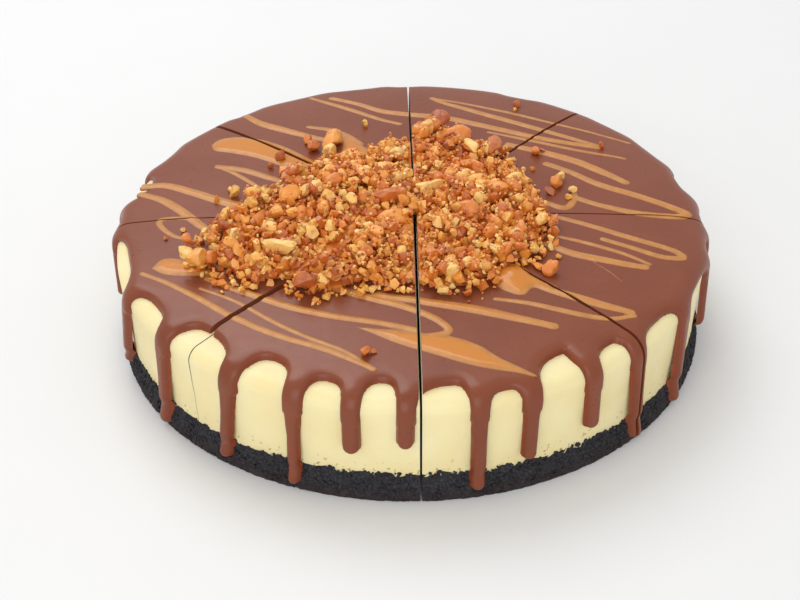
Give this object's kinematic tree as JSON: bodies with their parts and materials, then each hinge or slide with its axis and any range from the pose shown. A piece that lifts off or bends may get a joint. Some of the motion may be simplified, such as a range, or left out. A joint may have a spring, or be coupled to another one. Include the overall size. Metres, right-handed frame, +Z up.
{
  "type": "cheesecake",
  "caption": "Round cheesecake cut into slices that stand together: crumb crust, cream filling, chocolate coat with side drips, caramel strokes and a heap of chopped nuts on top.",
  "frame": {"origin": "under the middle of the cake, on the surface it stands on", "axes": "+Z up through the cake; -Y towards the side that the camera faced; +X to the right as seen from there"},
  "size_m": [0.236, 0.2359, 0.059],
  "materials": {
    "crust": "dry, rough pressed cookie crumb, nearly black",
    "filling": "smooth baked cream filling, pale yellow, satin",
    "chocolate": "set poured chocolate, satin, with flat caramel strokes",
    "nuts": "chopped nuts, golden to red-brown, lightly glazed"
  },
  "bodies": {
    "root": {"crust_1": "crust", "crust_2": "crust", "crust_3": "crust", "crust_4": "crust", "crust_5": "crust", "crust_6": "crust", "crust_7": "crust", "crust_8": "crust", "filling_1": "filling", "filling_2": "filling", "filling_3": "filling", "filling_4": "filling", "filling_5": "filling", "filling_6": "filling", "filling_7": "filling", "filling_8": "filling", "chocolate_1": "chocolate", "chocolate_2": "chocolate", "chocolate_3": "chocolate", "chocolate_4": "chocolate", "chocolate_5": "chocolate", "chocolate_6": "chocolate", "chocolate_7": "chocolate", "chocolate_8": "chocolate", "nuts_1": "nuts", "nuts_2": "nuts", "nuts_3": "nuts", "nuts_4": "nuts", "nuts_5": "nuts", "nuts_6": "nuts", "nuts_7": "nuts", "nuts_8": "nuts"}
  },
  "joints": []
}
